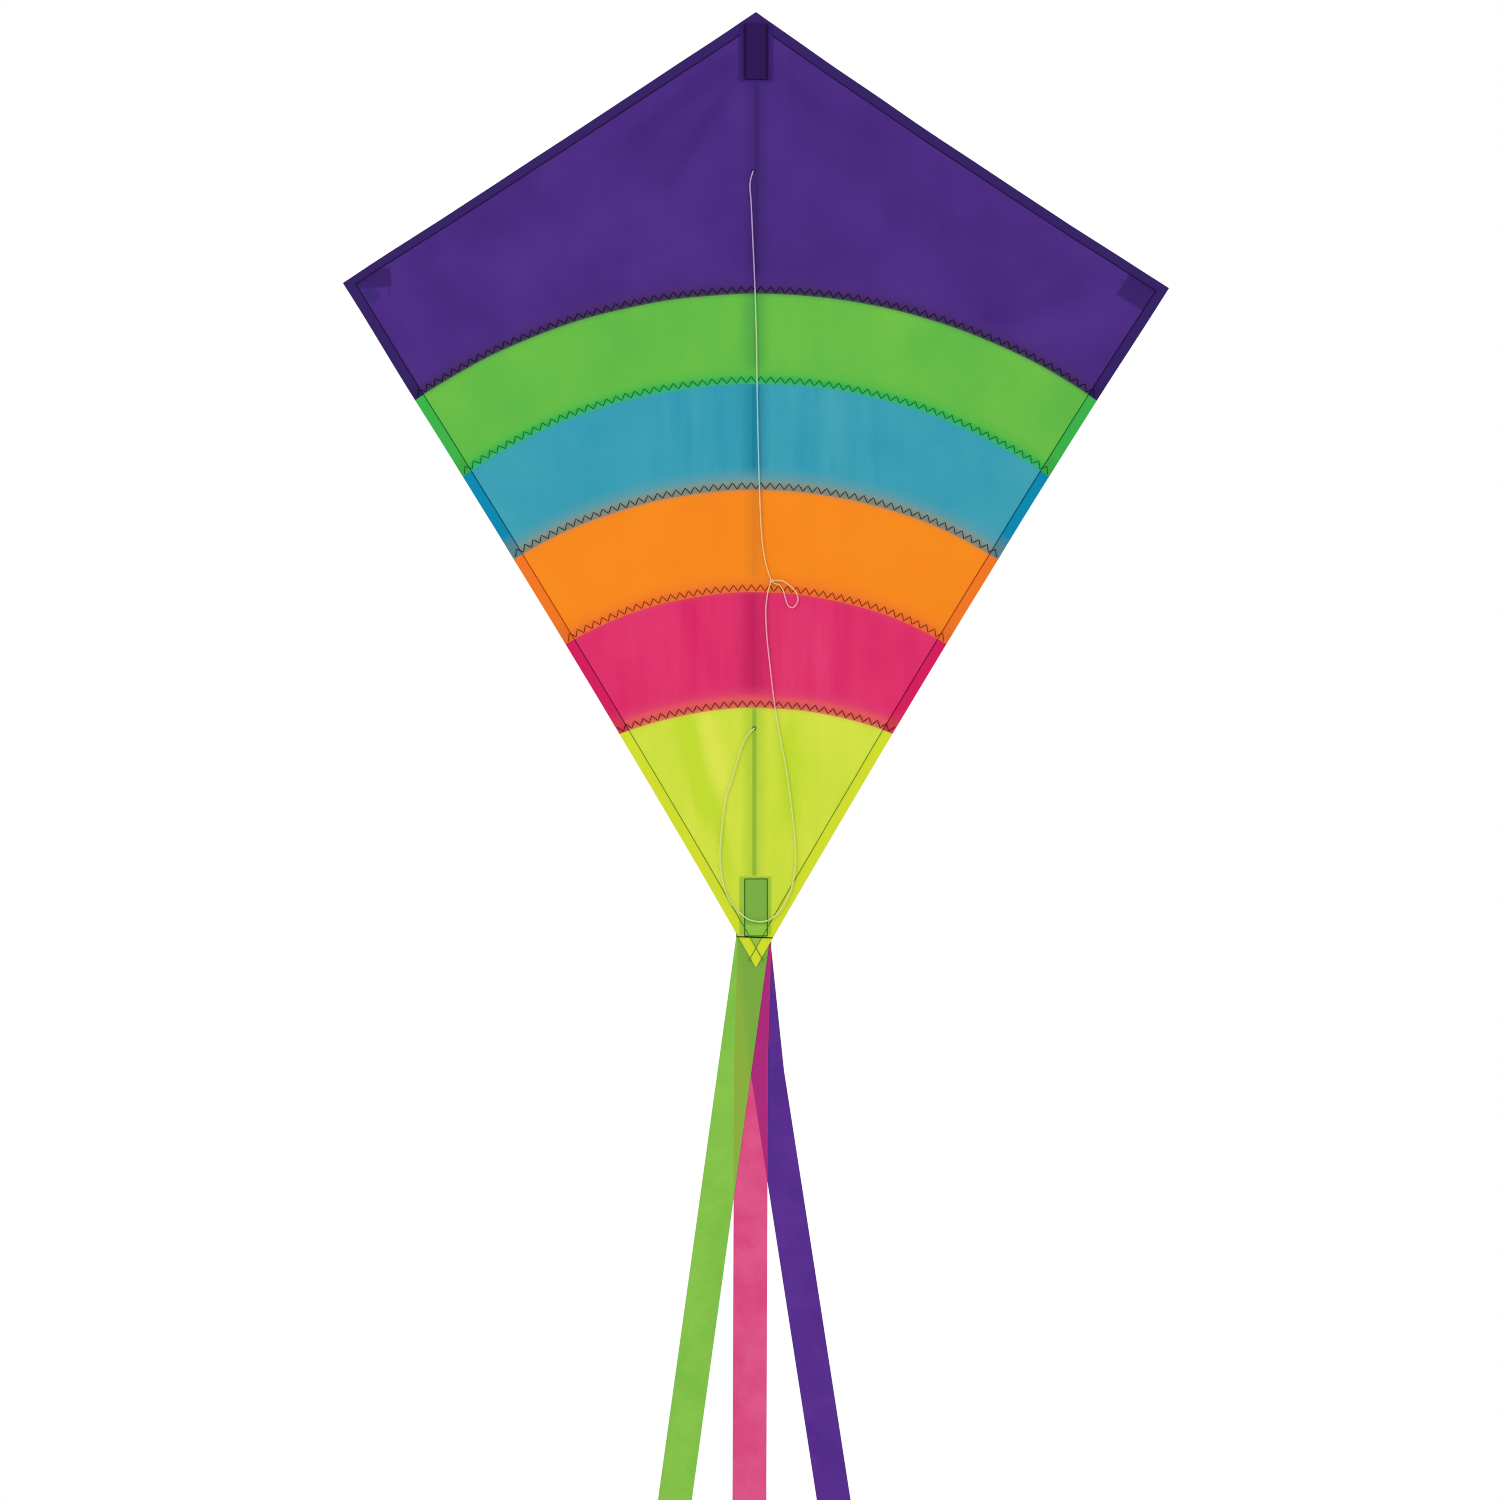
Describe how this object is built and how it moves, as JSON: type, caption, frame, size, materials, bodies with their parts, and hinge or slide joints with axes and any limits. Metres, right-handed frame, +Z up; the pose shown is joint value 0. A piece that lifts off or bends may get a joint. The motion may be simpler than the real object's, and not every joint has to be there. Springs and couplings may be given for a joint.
{
  "type": "diamond kite",
  "caption": "Flat diamond kite: six-panel sewn nylon sail on a spine and a two-part cross spar, with a two-leg cord bridle and three ribbon tails.",
  "frame": {"origin": "middle of the flat back face of the cross fitting, at the height of the cross spar", "axes": "+Z up the spine to the nose, +Y out of the back of the kite, so the sail's front faces -Y, +X to the right of someone looking at the front"},
  "size_m": [0.762, 0.0128, 1.8553],
  "materials": {
    "nylon_purple": "plain-weave nylon taffeta, soft sheen",
    "nylon_green": "plain-weave nylon taffeta, soft sheen",
    "nylon_blue": "plain-weave nylon taffeta, soft sheen",
    "nylon_orange": "plain-weave nylon taffeta, soft sheen",
    "nylon_pink": "plain-weave nylon taffeta, soft sheen",
    "nylon_lime": "plain-weave nylon taffeta, soft sheen",
    "thread": "spun polyester sewing thread",
    "pocket_purple": "dense woven pocket tape",
    "pocket_green": "nylon ribbon, doubled",
    "pocket_black": "dense woven pocket tape",
    "fibreglass": "pultruded glass fibre, ground",
    "cap": "moulded vinyl",
    "fitting": "moulded nylon, fine texture",
    "cord": "braided polyester cord",
    "ribbon_green": "hot-cut nylon ribbon",
    "ribbon_pink": "hot-cut nylon ribbon",
    "ribbon_purple": "hot-cut nylon ribbon"
  },
  "bodies": {
    "kite": {"sail_purple": "nylon_purple", "sail_green": "nylon_green", "sail_blue": "nylon_blue", "sail_orange": "nylon_orange", "sail_pink": "nylon_pink", "sail_lime": "nylon_lime", "seam_thread_purple": "thread", "seam_thread_green": "thread", "seam_thread_blue": "thread", "seam_thread_orange": "thread", "seam_thread_pink": "thread", "hem_thread_upper_left": "thread", "hem_thread_upper_right": "thread", "hem_thread_lower_left": "thread", "hem_thread_lower_right": "thread", "nose_pocket": "pocket_purple", "tail_pocket": "pocket_green", "wing_pocket_left": "pocket_black", "wing_pocket_right": "pocket_black", "nose_pocket_thread": "thread", "tail_pocket_thread": "thread", "wing_pocket_thread_left": "thread", "wing_pocket_thread_right": "thread", "tail_thread": "thread", "spine": "fibreglass", "spine_cap_top": "cap", "spine_cap_low": "cap", "spar_left": "fibreglass", "spar_right": "fibreglass", "spar_cap_left": "cap", "spar_cap_right": "cap", "cross_fitting": "fitting", "bridle_anchor_upper": "cord", "bridle_anchor_lower": "cord"},
    "bridle_upper": {"bridle_upper_leg": "cord", "tow_knot": "cord", "tow_loop": "cord"},
    "bridle_lower": {"bridle_lower_leg": "cord"},
    "bridle_bight": {"bridle_bight": "cord"},
    "tail_root": {"green_tail_upper": "ribbon_green", "pink_tail_upper": "ribbon_pink", "purple_tail_upper": "ribbon_purple"},
    "green_tail": {"green_tail": "ribbon_green"},
    "pink_tail": {"pink_tail": "ribbon_pink"},
    "purple_tail": {"purple_tail": "ribbon_purple"}
  },
  "joints": [
    {"name": "bridle_lift", "type": "hinge", "parent": "kite", "child": "bridle_upper", "pos_m": [-0.0025, -0.0106, 0.1065], "axis": [-1, 0, 0], "range_deg": [0, 30]},
    {"name": "bridle_lower_lift", "type": "hinge", "parent": "kite", "child": "bridle_lower", "pos_m": [-0.0015, -0.0106, -0.4075], "axis": [-1, 0, 0], "range_deg": [0, 46.99]},
    {"name": "bridle_bight_open", "type": "hinge", "parent": "bridle_lower", "child": "bridle_bight", "pos_m": [0.0035, -0.0106, -0.586], "axis": [1, 0, 0], "range_deg": [0, 57.7]},
    {"name": "tail_swing", "type": "hinge", "parent": "kite", "child": "tail_root", "pos_m": [0, -0.0073, -0.6], "axis": [1, 0, 0], "range_deg": [0, 70]},
    {"name": "green_tail_bend", "type": "hinge", "parent": "tail_root", "child": "green_tail", "pos_m": [-0.0398, -0.00705, -0.87], "axis": [0.9903, 0, -0.1386], "range_deg": [-40, 40]},
    {"name": "pink_tail_bend", "type": "hinge", "parent": "tail_root", "child": "pink_tail", "pos_m": [-0.00489, -0.00655, -0.87], "axis": [1, 0, -0.007], "range_deg": [-40, 40]},
    {"name": "purple_tail_bend", "type": "hinge", "parent": "tail_root", "child": "purple_tail", "pos_m": [0.03242, -0.00605, -0.87], "axis": [0.9882, 0, 0.1532], "range_deg": [-40, 40]}
  ],
  "couplings": [
    {"joint": "bridle_lower_lift", "follows": "bridle_lift", "ratio": 1.563},
    {"joint": "bridle_bight_open", "follows": "bridle_lift", "ratio": 1.92}
  ]
}
